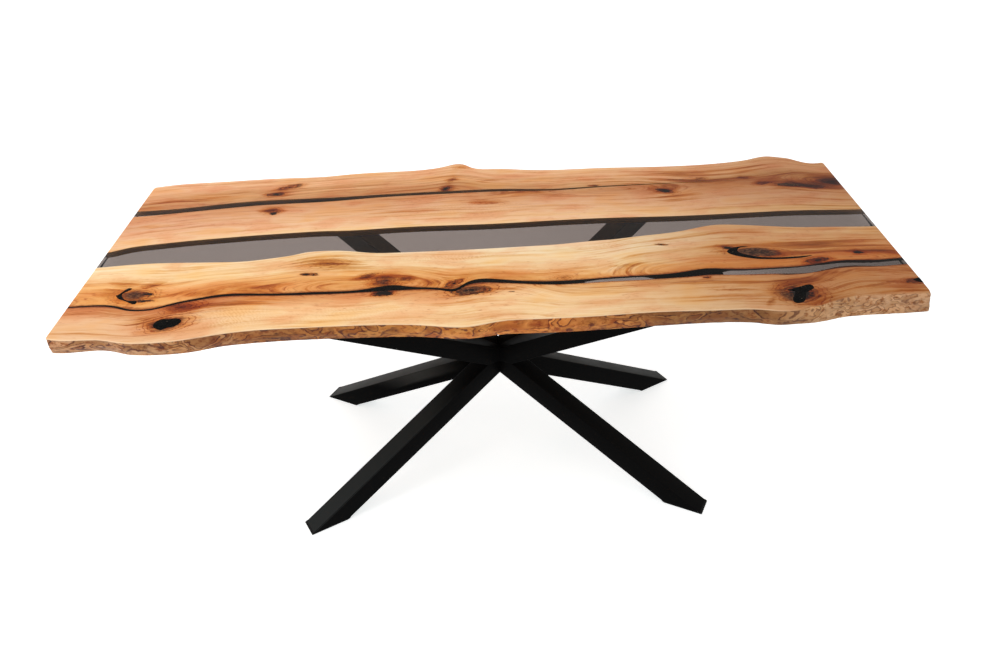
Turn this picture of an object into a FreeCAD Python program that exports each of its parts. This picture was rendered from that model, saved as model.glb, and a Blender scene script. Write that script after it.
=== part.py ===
import FreeCAD, Part

import math
import os

from FreeCAD import Vector

# A dining table with a live edge top on a crossed frame of square steel tube.
#
# +X runs along the table, +Y from its front edge to its back edge, +Z up. The table stands on
# z = 0, and its origin is under the middle of the top's outline. Lengths are in millimetres.
#
# The top is three boards of one slab, laid side by side and cast together with clear smoked
# resin: a river between the back slab and the front pair, a narrow seam between the front pair,
# and a crack that tapers out along the back slab. Knot holes are filled with black resin.
# The frame is four straight tubes that cross at one hub, made as eight mitred lengths, with a
# bolting plate on each upper end and a closing plate and a pad on each foot.

# ---------------------------------------------------------------- driving dimensions

table_height = 770.0
top_length = 2108.0          # along the middle of the top
top_width = 850.0            # between the mean lines of the two live edges
top_middle_x = 2.0           # where the middle of that length and width lies in plan
top_middle_y = -20.0
left_end_lean = 11.0         # how far the front of each sawn end lies left of its middle
right_end_lean = 4.0
slab_thickness = 45.0
corner_radius = 8.0          # plan radius of the top's four corners
belly = 4.0                  # how far the live edges bulge at belly_height
belly_height = 20.0          # above the underside

tube_size = 60.0
tube_wall = 3.0
foot_reach_x = 540.0         # from the hub to a leg's axis at the floor
foot_reach_y = 295.0
plate_reach_x = 509.0        # from the hub to an arm's axis at its bolting plate
frame_x = 12.0               # where the hub stands in plan
frame_y = -36.5

plate_length = 140.0         # along X
plate_width = 180.0          # along Y
plate_thickness = 6.0
bolt_pitch_x = 80.0
bolt_pitch_y = 140.0
slot_width = 9.0             # slots run along Y, across the grain
slot_length = 15.0

bolt_diameter = 8.0
bolt_length = 25.0
bolt_head_across = 13.0      # across the flats
bolt_head_height = 5.3
washer_diameter = 16.0
washer_bore = 8.4
washer_thickness = 1.6
insert_diameter = 12.5
insert_length = 20.0
insert_hole_depth = 28.0     # the pilot hole runs past the insert, clear of the bolt's end

foot_plate_thickness = 4.0
pad_thickness = 3.0
pad_inset = 2.0              # from the foot plate's sides

# ---------------------------------------------------------------- outlines

# Every x below is measured from the top's middle, on a top of the length that the lists end at,
# and it stretches with top_length.

# Live edges, from left to right: (x, how far the top's rim stands out from the mean line, how
# far the underside is set in from the rim).
back_live_edge = [
    (-1054, -11, 8), (-958, 3, 10), (-842, 7, 12), (-632, 13, 10), (-496, 12, 8), (-443, 19, 8),
    (-296, 25, 10), (-180, 32, 12), (-133, 47, 14), (-91, 62, 16), (-70, 56, 14), (-48, 32, 12),
    (-19, 16, 10), (30, 11, 8), (134, -8, 8), (218, -17, 10), (344, -18, 12), (523, -28, 12),
    (680, -29, 10), (780, -19, 8), (838, -5, 8), (875, 9, 10), (901, 11, 12), (932, 1, 12),
    (962, -13, 10), (980, -30, 8), (1054, -55, 8),
]
front_live_edge = [
    (-1054, -14, 2), (-1000, -4, 12), (-936, -1, 16), (-874, 17, 12), (-816, 22, 10),
    (-732, 16, 8), (-664, 1, 10), (-590, -9, 9), (-454, -11, 10), (-264, -7, 9), (-165, 5, 12),
    (-65, 19, 12), (-2, 4, 6), (92, 0, 2), (250, 0, 2), (344, -4, 2), (439, -3, 5), (534, 1, 9),
    (628, 7, 5), (675, 18, 3), (722, 17, 2), (764, 9, -3), (828, -15, -12), (938, -21, -12),
    (1054, -23, -12),
]

# The banks of the river: (x, distance back from the top's middle).
river_back_bank = [
    (-1054, -1), (-1010, 17), (-936, 33), (-852, 44), (-758, 52), (-664, 59), (-569, 63),
    (-454, 65), (-406, 62), (-306, 65), (-180, 67), (-23, 62), (176, 65), (271, 66), (428, 61),
    (512, 57), (744, 57), (901, 55), (1054, 45),
]
river_front_bank = [
    (-1054, -83), (-994, -78), (-905, -74), (-821, -78), (-726, -85), (-653, -86), (-580, -75),
    (-534, -65), (-505, -54), (-474, -50), (-426, -51), (-385, -57), (-328, -72), (-254, -78),
    (-34, -80), (103, -77), (198, -73), (271, -65), (324, -62), (408, -50), (523, -33),
    (581, -15), (623, -7), (680, -12), (754, -26), (828, -40), (954, -51), (1054, -58),
]

# The seam between the two front boards: (x, its back side's distance in from the front mean
# line, its width).
front_seam = [
    (-1054, 152, 5), (-942, 146, 8), (-905, 129, 8), (-874, 123, 7), (-842, 127, 8),
    (-797, 147, 9), (-737, 165, 10), (-695, 175, 11), (-569, 169, 9), (-438, 166, 12),
    (-359, 164, 11), (-317, 170, 16), (-249, 181, 26), (-212, 170, 15), (-138, 157, 10),
    (-99, 151, 13), (-70, 177, 15), (-42, 191, 19), (19, 184, 17), (72, 172, 14), (166, 163, 17),
    (268, 167, 18), (366, 170, 21), (450, 173, 22), (497, 181, 28), (539, 189, 32),
    (607, 180, 28), (722, 177, 30), (796, 180, 35), (848, 190, 30), (909, 197, 28),
    (974, 191, 30), (1054, 195, 31),
]

# The crack in the back slab, open at the left end: (x, its back side's distance in from the
# back mean line, its width).
back_crack = [
    (-1054, 179, 36), (-910, 172, 30), (-810, 157, 33), (-706, 146, 32), (-474, 145, 27),
    (-328, 140, 20), (-96, 137, 19), (56, 141, 16), (198, 156, 11), (302, 153, 9), (408, 151, 7),
    (544, 152, 4), (754, 155, 1.5),
]

# Knot holes filled with black resin: the hole's place as (x, distance in from the front mean
# line), and its outline about that place.
knot_holes = {
    "front_left": ((-788, 54), [
        (-30, -11), (-29, 14), (-21, 21), (0, 21), (15, 23), (31, 10), (30, 1), (14, -16),
        (2, -19), (-8, -26), (-19, -20)]),
    "front_right": ((744, 55), [
        (-29, 17), (-7, 23), (17, 33), (34, 34), (37, 22), (14, 2), (1, -25), (-14, -43),
        (-29, -43), (-29, -22), (-16, 1), (-15, 12), (-25, 11)]),
    "eye": ((698, 255), [
        (-21, 35), (-40, 38), (-55, 34), (-72, 26), (-81, 12), (-76, 1), (-61, -11), (-39, -22),
        (-10, -32), (21, -36), (52, -38), (82, -37), (109, -34), (131, -26), (104, -27),
        (75, -28), (44, -28), (15, -25), (-10, -19), (-31, -9), (-45, 1), (-53, 13), (-49, 25),
        (-37, 32)]),
    "left_crescent": ((-922, 190), [
        (-33, 7), (-20, 27), (-8, 39), (-3, 36), (-13, 20), (-19, 8), (-13, -6), (4, -21),
        (30, -31), (29, -38), (3, -27), (-12, -18), (-26, -7)]),
    "right_end": ((1042, 87), [
        (-10, 3), (4, 10), (24, 8), (24, -12), (3, -11), (-6, -5)]),
}
holes_of_board = {
    "front_outer_board": ("front_left", "front_right", "right_end"),
    "front_inner_board": ("eye", "left_crescent"),
}

# ---------------------------------------------------------------- derived values

drawn_length = front_live_edge[-1][0] - front_live_edge[0][0]
stretch = top_length / drawn_length
front_line = top_middle_y - top_width / 2
back_line = top_middle_y + top_width / 2
slab_bottom = table_height - slab_thickness
plate_bottom = slab_bottom - plate_thickness
# A leg and the arm that goes on from it are one straight line through the hub.
hub_height = plate_bottom * foot_reach_x / (foot_reach_x + plate_reach_x)
plate_reach_y = foot_reach_y * plate_reach_x / foot_reach_x
heading = math.degrees(math.atan2(foot_reach_y, foot_reach_x))
slope = math.atan2(hub_height, math.hypot(foot_reach_x, foot_reach_y))
hub = Vector(frame_x, frame_y, hub_height)

# How far a cutting shape runs past what it cuts.
overrun = 20.0
# A cutting shape that has to take in the whole table on one side.
beyond = 2 * (top_length + table_height)

corners = {
    "front_left": (-1, -1),
    "front_right": (1, -1),
    "back_left": (-1, 1),
    "back_right": (1, 1),
}


def spline(points):
    curve = Part.BSplineCurve()
    curve.interpolate(points)
    return curve.toShape()


def closed_spline(points):
    curve = Part.BSplineCurve()
    curve.interpolate(Points=points, PeriodicFlag=True)
    return curve.toShape()


def prism(edges, low, high):
    """The solid over a closed loop of edges drawn at z = low."""
    face = Part.Face(Part.Wire(edges))
    return face.extrude(Vector(0, 0, high - low))


# ---------------------------------------------------------------- the top

def along(x):
    """Where a station of the outlines lies along the table."""
    return top_middle_x + stretch * x


def on_end(x_side, y):
    """The point x of a sawn end at y: the ends run straight, a little askew."""
    lean = left_end_lean if x_side < 0 else right_end_lean
    return top_middle_x + x_side * top_length / 2 + lean * (y - top_middle_y) / (top_width / 2)


def live_edge_line(stations, side, z, part_of_inset, bulge):
    """One live edge at height z, from left to right, between the corner roundings."""
    mean_line = front_line if side < 0 else back_line
    points = []
    for x, stand_out, inset in stations:
        out = stand_out - part_of_inset * inset + bulge
        points.append(Vector(along(x), mean_line + side * out, z))
    points[0].x = on_end(-1, points[0].y) + corner_radius
    points[-1].x = on_end(1, points[-1].y) - corner_radius
    return points


def corner_arc(start, x_side, y_side):
    """The rounding from a live edge's last point, start, to the sawn end."""
    far_y = start.y - y_side * corner_radius
    centre = Vector(start.x, far_y, start.z)
    finish = Vector(on_end(x_side, far_y), far_y, start.z)
    diagonal = corner_radius * math.sqrt(0.5)
    middle = centre + Vector(x_side * diagonal, y_side * diagonal, 0)
    return Part.Arc(start, middle, finish).toShape(), finish


def top_section(z, part_of_inset, bulge):
    """The top's whole outline at height z."""
    front = live_edge_line(front_live_edge, -1, z, part_of_inset, bulge)
    back = live_edge_line(back_live_edge, 1, z, part_of_inset, bulge)
    front_right, right_low = corner_arc(front[-1], 1, -1)
    back_right, right_high = corner_arc(back[-1], 1, 1)
    back_left, left_high = corner_arc(back[0], -1, 1)
    front_left, left_low = corner_arc(front[0], -1, -1)
    return Part.Wire([
        spline(front),
        front_right,
        Part.LineSegment(right_low, right_high).toShape(),
        back_right,
        spline(list(reversed(back))),
        back_left,
        Part.LineSegment(left_high, left_low).toShape(),
        front_left,
    ])


def make_blank():
    """The whole top before it is divided: underside, belly and rim joined by ruled faces."""
    sections = [
        top_section(slab_bottom, 1.0, 0.0),
        top_section(slab_bottom + belly_height, 1 - belly_height / slab_thickness, belly),
        top_section(table_height, 0.0, 0.0),
    ]
    return Part.makeLoft(sections, True, True)


def bank(points, z):
    """A line along the whole top through (x, y) points, run on past both sawn ends."""
    first, last = points[0], points[-1]
    path = [Vector(along(first[0]) - overrun, first[1], z)]
    path += [Vector(along(x), y, z) for x, y in points]
    path.append(Vector(along(last[0]) + overrun, last[1], z))
    return path


def strip(back_path, front_path):
    """The solid between two lines that both run from left to right."""
    edges = [
        spline(front_path),
        Part.LineSegment(front_path[-1], back_path[-1]).toShape(),
        spline(list(reversed(back_path))),
        Part.LineSegment(back_path[0], front_path[0]).toShape(),
    ]
    return prism(edges, slab_bottom - overrun, table_height + overrun)


def far_side(path, side):
    """Everything of the top on one side of a line."""
    far = side * beyond
    z = path[0].z
    left = Vector(path[0].x, far, z)
    right = Vector(path[-1].x, far, z)
    edges = [
        spline(path),
        Part.LineSegment(path[-1], right).toShape(),
        Part.LineSegment(right, left).toShape(),
        Part.LineSegment(left, path[0]).toShape(),
    ]
    return prism(edges, slab_bottom - overrun, table_height + overrun)


def crack_cutter(z):
    """The tapering crack: its two sides from the open left end to the blunt tip."""
    stations = [(along(x), back_line - inward, width) for x, inward, width in back_crack]
    open_end = (stations[0][0] - overrun,) + stations[0][1:]
    back_path = [Vector(x, y, z) for x, y, width in [open_end] + stations]
    front_path = [Vector(x, y - width, z) for x, y, width in [open_end] + stations]
    return strip(back_path, front_path)


def knot_cutter(name, z):
    (x, inward), outline = knot_holes[name]
    centre = Vector(along(x), front_line + inward, z)
    points = [centre + Vector(dx, dy, 0) for dx, dy in outline]
    return prism([closed_spline(points)], slab_bottom - overrun, table_height + overrun)


def make_top():
    blank = make_blank()
    z = slab_bottom - overrun
    river_back = bank([(x, top_middle_y + y) for x, y in river_back_bank], z)
    river_front = bank([(x, top_middle_y + y) for x, y in river_front_bank], z)
    seam_back = bank([(x, front_line + inward) for x, inward, width in front_seam], z)
    seam_front = bank([(x, front_line + inward - width) for x, inward, width in front_seam], z)
    crack = crack_cutter(z)

    pieces = {
        "back_slab": blank.common(far_side(river_back, 1)).cut(crack),
        "river_resin": blank.common(strip(river_back, river_front)),
        "front_inner_board": blank.common(strip(river_front, seam_back)),
        "front_seam_resin": blank.common(strip(seam_back, seam_front)),
        "front_outer_board": blank.common(far_side(seam_front, -1)),
        "back_crack_resin": blank.common(crack),
    }
    for board, names in holes_of_board.items():
        for name in names:
            cutter = knot_cutter(name, z)
            pieces["knot_fill_" + name] = blank.common(cutter)
            pieces[board] = pieces[board].cut(cutter)
    return pieces


# ---------------------------------------------------------------- the frame

def tube_solid(x_side, y_side, z_side, size):
    """A square bar of one tube's line, from past the hub to past its end. Its sides stand upright."""
    reach = math.hypot(foot_reach_x, foot_reach_y)
    along = Vector(x_side * foot_reach_x, y_side * foot_reach_y, z_side * hub_height)
    length = along.Length
    along.normalize()
    across = Vector(-y_side * foot_reach_y / reach, x_side * foot_reach_x / reach, 0)
    over = along.cross(across)
    start = hub - along * (2 * tube_size)
    points = []
    for a, b in ((-1, -1), (1, -1), (1, 1), (-1, 1)):
        points.append(start + across * (a * size / 2) + over * (b * size / 2))
    face = Part.Face(Part.makePolygon(points + [points[0]]))
    return face.extrude(along * (length + 6 * tube_size))


def block_between(x_side, y_side, low, high):
    """Everything in one quarter of the plan about the hub, between two heights."""
    x = hub.x if x_side > 0 else hub.x - beyond
    y = hub.y if y_side > 0 else hub.y - beyond
    return Part.makeBox(beyond, beyond, high - low, Vector(x, y, low))


def tube_piece(x_side, y_side, z_side, low, high):
    """One mitred length of tube. At the hub it stops at the planes it shares with its neighbours."""
    bar = tube_solid(x_side, y_side, z_side, tube_size)
    bore = tube_solid(x_side, y_side, z_side, tube_size - 2 * tube_wall)
    return bar.common(block_between(x_side, y_side, low, high)).cut(bore)


def make_leg(x_side, y_side):
    low = pad_thickness + foot_plate_thickness
    return tube_piece(x_side, y_side, -1, low, hub_height)


def make_arm(x_side, y_side):
    return tube_piece(x_side, y_side, 1, hub_height, plate_bottom)


def make_foot_plate(x_side, y_side):
    """The slice of the solid bar that closes the leg's lower end."""
    bar = tube_solid(x_side, y_side, -1, tube_size)
    top = pad_thickness + foot_plate_thickness
    return bar.common(block_between(x_side, y_side, pad_thickness, top))


def make_pad(x_side, y_side):
    """A flat pad under the foot plate, turned to the leg's heading."""
    drop = (hub_height - pad_thickness) / hub_height
    centre = Vector(hub.x + x_side * foot_reach_x * drop, hub.y + y_side * foot_reach_y * drop, 0)
    length = (tube_size / math.sin(slope)) - 2 * pad_inset
    width = tube_size - 2 * pad_inset
    pad = Part.makeBox(length, width, pad_thickness, Vector(-length / 2, -width / 2, 0))
    pad.rotate(Vector(0, 0, 0), Vector(0, 0, 1), x_side * y_side * heading)
    pad.translate(centre)
    return pad


# ---------------------------------------------------------------- bolting plates and fasteners

def plate_centre(x_side, y_side):
    return Vector(hub.x + x_side * plate_reach_x, hub.y + y_side * plate_reach_y, 0)


def bolt_places(x_side, y_side):
    centre = plate_centre(x_side, y_side)
    places = []
    for a in (-1, 1):
        for b in (-1, 1):
            places.append(centre + Vector(a * bolt_pitch_x / 2, b * bolt_pitch_y / 2, 0))
    return places


def slot_at(place):
    """A slot along Y, through a bolting plate."""
    z = Vector(0, 0, plate_bottom - overrun)
    height = plate_thickness + 2 * overrun
    radius = slot_width / 2
    between = slot_length - slot_width
    corner = place + z - Vector(radius, between / 2, 0)
    slot = Part.makeBox(slot_width, between, height, corner)
    for side in (-1, 1):
        end = place + z + Vector(0, side * between / 2, 0)
        slot = slot.fuse(Part.makeCylinder(radius, height, end))
    return slot.removeSplitter()


def make_plate(x_side, y_side):
    centre = plate_centre(x_side, y_side)
    corner = centre + Vector(-plate_length / 2, -plate_width / 2, plate_bottom)
    plate = Part.makeBox(plate_length, plate_width, plate_thickness, corner)
    for place in bolt_places(x_side, y_side):
        plate = plate.cut(slot_at(place))
    return plate


def make_bolt(place):
    """A hexagon head bolt, head down, its shank up through the plate into the insert."""
    seat = place + Vector(0, 0, plate_bottom - washer_thickness)
    radius = bolt_head_across / math.sqrt(3)
    points = []
    for i in range(7):
        angle = math.radians(60 * i)
        points.append(seat + Vector(radius * math.cos(angle), radius * math.sin(angle), 0))
    head = Part.Face(Part.makePolygon(points)).extrude(Vector(0, 0, -bolt_head_height))
    shank = Part.makeCylinder(bolt_diameter / 2, bolt_length, seat)
    return head.fuse(shank)


def make_washer(place):
    low = place + Vector(0, 0, plate_bottom - washer_thickness)
    ring = Part.makeCylinder(washer_diameter / 2, washer_thickness, low)
    return ring.cut(Part.makeCylinder(washer_bore / 2, washer_thickness, low))


def make_insert(place):
    """A threaded sleeve let into the underside of the top."""
    low = place + Vector(0, 0, slab_bottom)
    sleeve = Part.makeCylinder(insert_diameter / 2, insert_length, low)
    return sleeve.cut(Part.makeCylinder(bolt_diameter / 2, insert_length, low))


def insert_hole(place):
    low = place + Vector(0, 0, slab_bottom - overrun)
    wide = Part.makeCylinder(insert_diameter / 2, overrun + insert_length, low)
    deep = Part.makeCylinder(bolt_diameter / 2, overrun + insert_hole_depth, low)
    return wide.fuse(deep)


# ---------------------------------------------------------------- assembly

def drilled(shape, holes):
    for hole in holes:
        if shape.BoundBox.intersect(hole.BoundBox):
            shape = shape.cut(hole)
    return shape


def make_all():
    pieces = {}
    holes = []
    for corner_name, (x_side, y_side) in corners.items():
        pieces["leg_" + corner_name] = make_leg(x_side, y_side)
        pieces["arm_" + corner_name] = make_arm(x_side, y_side)
        pieces["foot_plate_" + corner_name] = make_foot_plate(x_side, y_side)
        pieces["foot_pad_" + corner_name] = make_pad(x_side, y_side)
        pieces["bolting_plate_" + corner_name] = make_plate(x_side, y_side)
        places = bolt_places(x_side, y_side)
        pieces["bolts_" + corner_name] = Part.makeCompound([make_bolt(p) for p in places])
        pieces["washers_" + corner_name] = Part.makeCompound([make_washer(p) for p in places])
        pieces["inserts_" + corner_name] = Part.makeCompound([make_insert(p) for p in places])
        holes += [insert_hole(p) for p in places]
    for name, shape in make_top().items():
        pieces[name] = drilled(shape, holes)
    return pieces


def main():
    os.makedirs("parts", exist_ok=True)
    pieces = make_all()
    whole = Part.makeCompound(list(pieces.values())).BoundBox
    to_middle = Vector(-(whole.XMin + whole.XMax) / 2, -(whole.YMin + whole.YMax) / 2, 0)
    for name, shape in pieces.items():
        shape.translate(to_middle)
        solids = shape.Solids
        out = solids[0] if len(solids) == 1 else Part.makeCompound(solids)
        out.exportStep(os.path.join("parts", name + ".step"))
        print(name, "solids", len(solids), "valid", out.isValid(), "cm3", round(out.Volume / 1000, 2))
    print("moved to the middle by", to_middle)


main()
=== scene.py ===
"""Live edge dining table with smoked resin: the looks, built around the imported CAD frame.

Everything is in metres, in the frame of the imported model: x along the table, y from the
front live edge to the back one, z up from the floor.
"""
import math
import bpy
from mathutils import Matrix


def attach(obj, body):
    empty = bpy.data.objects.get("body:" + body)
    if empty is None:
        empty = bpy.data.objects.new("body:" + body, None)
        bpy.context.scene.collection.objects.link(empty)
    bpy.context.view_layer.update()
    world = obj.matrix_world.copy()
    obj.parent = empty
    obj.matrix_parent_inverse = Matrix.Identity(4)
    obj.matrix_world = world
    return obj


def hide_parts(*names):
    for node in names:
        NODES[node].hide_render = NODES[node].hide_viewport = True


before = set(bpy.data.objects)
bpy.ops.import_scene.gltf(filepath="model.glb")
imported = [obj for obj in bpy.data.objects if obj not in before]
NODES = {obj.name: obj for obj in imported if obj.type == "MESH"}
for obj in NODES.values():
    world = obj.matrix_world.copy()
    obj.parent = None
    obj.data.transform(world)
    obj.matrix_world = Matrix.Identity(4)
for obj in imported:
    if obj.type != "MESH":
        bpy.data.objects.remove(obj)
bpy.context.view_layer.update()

from types import SimpleNamespace

import bmesh
import bpy
from mathutils import Matrix, Vector, noise
from mathutils.bvhtree import BVHTree
from mathutils.geometry import delaunay_2d_cdt
from mathutils.kdtree import KDTree

SCENE = bpy.context.scene

# ---- the top, in metres ----
TOP = 0.770
UNDER = 0.725
GROW = 0.0003            # how far the cast resin keys into the wood of its banks
SINK = 0.00005           # how far the resin's face lies under the wood's
LIVE_ARRIS = 0.0030      # rounding of the live edges
SAWN_ARRIS = 0.0018      # rounding of the sawn ends
UNDER_ARRIS = 0.0020
CAP_GRID = 0.012         # between the points inside a flat face
WORN_REACH = 0.050       # width and depth of the worn rim at the front right
WORN_DROP = 0.030
SEAM_LEAN = 0.023        # undercut of the seam's back bank in the right half
OUTLINE_STEP = 0.005     # between the points of a new outline
BOARD_LEVELS = 12        # rows of faces up a board's side, and up a casting's
RESIN_LEVELS = 2
LIVE_LIMIT = 0.05        # how far a live edge may stand out from the upper outline
SEAT = 0.00045           # what lies this near stands against the piece
TUBE_EASE = 0.0028       # rounding of the tubes' long edges

# ---- the camera ----
FOCAL_PX = 852.9
PICTURE_WIDTH_PX = 1000
CAMERA_AT = Vector((-0.02403, -2.11107, 1.899))
YAW, PITCH, ROLL = 0.02067, 0.61132, -0.03750

# Places of a board's four materials, and the one that each kind of side takes.
PLANED, LIVE, WALL, END = range(4)
SIDE_MATERIAL = {"live": LIVE, "bank": WALL, "end": END}

BOARDS = ("back_slab", "front_inner_board", "front_outer_board")
CASTINGS = ("river_resin", "front_seam_resin", "back_crack_resin")
CORNERS = ("front_left", "front_right", "back_left", "back_right")


def rgb(red, green, blue):
    """A colour given as screen values from 0 to 255, as the linear one a shader takes."""
    def linear(value):
        value /= 255
        return value / 12.92 if value <= 0.04045 else ((value + 0.055) / 1.055) ** 2.4
    return (linear(red), linear(green), linear(blue), 1.0)


# ------------------------------------------------------------------ shader helpers

class Val:
    """A number or colour inside a material; + - * / between two of them add Math nodes."""

    def __init__(self, shade, socket):
        self.shade = shade
        self.socket = socket

    def __add__(self, other):
        return self.shade.math("ADD", self, other)

    def __sub__(self, other):
        return self.shade.math("SUBTRACT", self, other)

    def __rsub__(self, other):
        return self.shade.math("SUBTRACT", other, self)

    def __mul__(self, other):
        return self.shade.math("MULTIPLY", self, other)

    def __truediv__(self, other):
        return self.shade.math("DIVIDE", self, other)

    __radd__ = __add__
    __rmul__ = __mul__


class Shade:
    """Short calls for the nodes of one shader tree."""

    def __init__(self, owner):
        owner.use_nodes = True
        self.tree = owner.node_tree
        self.tree.nodes.clear()

    def put(self, socket, value):
        if isinstance(value, Val):
            self.tree.links.new(value.socket, socket)
        else:
            socket.default_value = value

    def node(self, kind, inputs=None, **settings):
        made = self.tree.nodes.new("ShaderNode" + kind)
        for name, value in settings.items():
            setattr(made, name, value)
        for name, value in (inputs or {}).items():
            self.put(made.inputs[name], value)
        return made

    def math(self, operation, *values, clamp=False):
        made = self.node("Math", operation=operation, use_clamp=clamp)
        for socket, value in zip(made.inputs, values):
            self.put(socket, value)
        return Val(self, made.outputs[0])

    def position(self):
        """x, y and z of the surface point, in the table's frame."""
        made = self.node("TexCoord")
        return self.parts(Val(self, made.outputs["Object"]))

    def parts(self, vector):
        made = self.node("SeparateXYZ", {0: vector})
        return [Val(self, socket) for socket in made.outputs]

    def vec(self, x, y, z=0.0):
        return Val(self, self.node("CombineXYZ", {0: x, 1: y, 2: z}).outputs[0])

    def attribute(self, name):
        return Val(self, self.node("Attribute", attribute_name=name).outputs["Fac"])

    def noise(self, at, scale=1.0, detail=2.0, rough=0.5, distort=0.0):
        made = self.node("TexNoise", {"Vector": at, "Scale": scale, "Detail": detail,
                                      "Roughness": rough, "Distortion": distort})
        return Val(self, made.outputs[0])

    def noises(self, at, detail=2.0, rough=0.5):
        """Three different noises of the same kind, each about 0."""
        made = self.node("TexNoise", {"Vector": at, "Scale": 1.0, "Detail": detail,
                                      "Roughness": rough})
        return [part - 0.5 for part in self.parts(Val(self, made.outputs["Color"]))]

    def cracks(self, at):
        """How far a point lies from the nearest wall of a pattern of cells."""
        made = self.node("TexVoronoi", {"Vector": at, "Scale": 1.0},
                         feature="DISTANCE_TO_EDGE")
        return Val(self, made.outputs["Distance"])

    def smooth(self, value, low, high, start=0.0, end=1.0):
        made = self.node("MapRange", {"Value": value, "From Min": low, "From Max": high,
                                      "To Min": start, "To Max": end},
                         interpolation_type="SMOOTHSTEP")
        return Val(self, made.outputs[0])

    def ramp(self, amount, stops, interpolation="LINEAR"):
        made = self.node("ValToRGB", {0: amount})
        made.color_ramp.interpolation = interpolation
        elements = made.color_ramp.elements
        while len(elements) < len(stops):
            elements.new(0.5)
        for element, (at, colour) in zip(elements, stops):
            element.position = at
            element.color = colour
        return Val(self, made.outputs[0])

    def mix(self, amount, first, second, blend="MIX"):
        made = self.node("Mix", data_type="RGBA", blend_type=blend)
        self.put(made.inputs[0], amount)
        self.put(made.inputs[6], first)
        self.put(made.inputs[7], second)
        return Val(self, made.outputs[2])

    def times(self, colour, other):
        return self.mix(1.0, colour, other, blend="MULTIPLY")

    def tint(self, amount, colour, other):
        """colour, multiplied by other as far as amount says."""
        return self.mix(amount, colour, self.times(colour, other))

    def bump(self, height, strength, distance):
        made = self.node("Bump", {"Height": height, "Strength": strength,
                                  "Distance": distance})
        return Val(self, made.outputs[0])

    def surface(self, **inputs):
        made = self.node("BsdfPrincipled")
        for name, value in inputs.items():
            self.put(made.inputs[name.replace("_", " ")], value)
        return made.outputs[0]

    def finish(self, shader, volume=None):
        out = self.node("OutputMaterial")
        self.tree.links.new(shader, out.inputs["Surface"])
        if volume:
            self.tree.links.new(volume, out.inputs["Volume"])


def new_material(name):
    material = bpy.data.materials.new(name)
    return material, Shade(material)


# ------------------------------------------------------------------ wood

# Knots of each board: x, y, half length, half width, turn in degrees, how brown its rings
# are, how much of it is black, and how strongly it browns the wood around it.
KNOTS = {
    "back_slab": (
        (-0.610, 0.346, 0.036, 0.013, 24, 0.9, 0.20, 0.8),
        (-0.642, 0.300, 0.022, 0.012, 0, 0.9, 0.40, 0.9),
        (-0.636, 0.186, 0.022, 0.017, -15, 0.5, 0.00, 0.9),
        (-0.629, 0.170, 0.011, 0.008, 0, 1.0, 0.90, 0.2),
        (-0.076, 0.436, 0.022, 0.014, 0, 0.2, 0.00, 0.6),
        (-0.104, 0.345, 0.020, 0.011, 60, 0.4, 0.00, 0.6),
        (-0.123, 0.285, 0.018, 0.012, 50, 0.9, 0.50, 0.8),
        (-0.005, 0.176, 0.050, 0.011, -8, 0.2, 0.00, 0.5),
        (0.533, 0.199, 0.026, 0.013, -28, 1.0, 0.75, 1.0),
        (0.325, 0.257, 0.014, 0.007, 0, 0.6, 0.20, 0.6),
        (0.654, 0.272, 0.022, 0.008, 0, 0.4, 0.00, 0.6),
        (0.785, 0.265, 0.018, 0.010, 0, 0.4, 0.00, 0.6),
        (0.835, 0.222, 0.024, 0.008, 0, 0.6, 0.00, 0.7),
        (0.915, 0.198, 0.038, 0.011, -12, 0.9, 0.20, 0.9),
        (0.972, 0.184, 0.030, 0.011, -10, 0.9, 0.20, 0.9),
        (1.040, 0.206, 0.030, 0.014, 0, 0.6, 0.00, 0.9),
    ),
    "front_inner_board": (
        (-0.906, -0.256, 0.036, 0.026, 0, 0.4, 0.00, 1.0),
        (-0.872, -0.252, 0.016, 0.007, 0, 1.0, 0.80, 0.6),
        (-0.870, -0.284, 0.022, 0.006, 0, 1.0, 0.70, 0.6),
        (-0.439, -0.138, 0.060, 0.026, 0, 0.0, 0.00, 0.5),
        (-0.482, -0.190, 0.013, 0.006, 0, 0.9, 0.60, 0.6),
        (-0.462, -0.192, 0.010, 0.005, 0, 0.9, 0.50, 0.4),
        (-0.274, -0.244, 0.032, 0.026, 10, 0.5, 0.00, 1.0),
        (-0.318, -0.214, 0.024, 0.010, 20, 0.5, 0.00, 0.9),
        (-0.222, -0.238, 0.018, 0.012, 0, 0.5, 0.00, 0.9),
        (-0.094, -0.268, 0.028, 0.010, 35, 0.9, 0.20, 0.8),
        (0.178, -0.268, 0.026, 0.013, 0, 0.35, 0.00, 0.6),
        (0.455, -0.122, 0.014, 0.004, -10, 0.9, 0.30, 0.4),
        (0.632, -0.158, 0.020, 0.009, -20, 1.0, 0.60, 0.9),
        (0.700, -0.190, 0.062, 0.021, -10, 0.7, 0.00, 0.9),
        (0.838, -0.244, 0.026, 0.012, 15, 0.9, 0.40, 1.0),
        (0.956, -0.212, 0.014, 0.008, 0, 1.0, 0.90, 1.0),
    ),
    "front_outer_board": (
        (-0.772, -0.318, 0.036, 0.018, 10, 0.45, 0.00, 1.0),
        (-0.784, -0.392, 0.042, 0.025, 15, 0.6, 0.72, 0.9),
        (-0.270, -0.303, 0.022, 0.012, 0, 1.0, 0.90, 0.9),
        (-0.056, -0.307, 0.048, 0.018, 6, 0.9, 0.30, 0.9),
        (0.045, -0.322, 0.010, 0.003, 0, 0.8, 0.60, 0.3),
        (0.537, -0.300, 0.008, 0.005, 0, 1.0, 0.60, 0.8),
        (0.746, -0.392, 0.038, 0.034, -30, 0.6, 0.62, 1.0),
        (1.043, -0.362, 0.024, 0.010, 0, 0.9, 0.00, 0.9),
    ),
}
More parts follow.
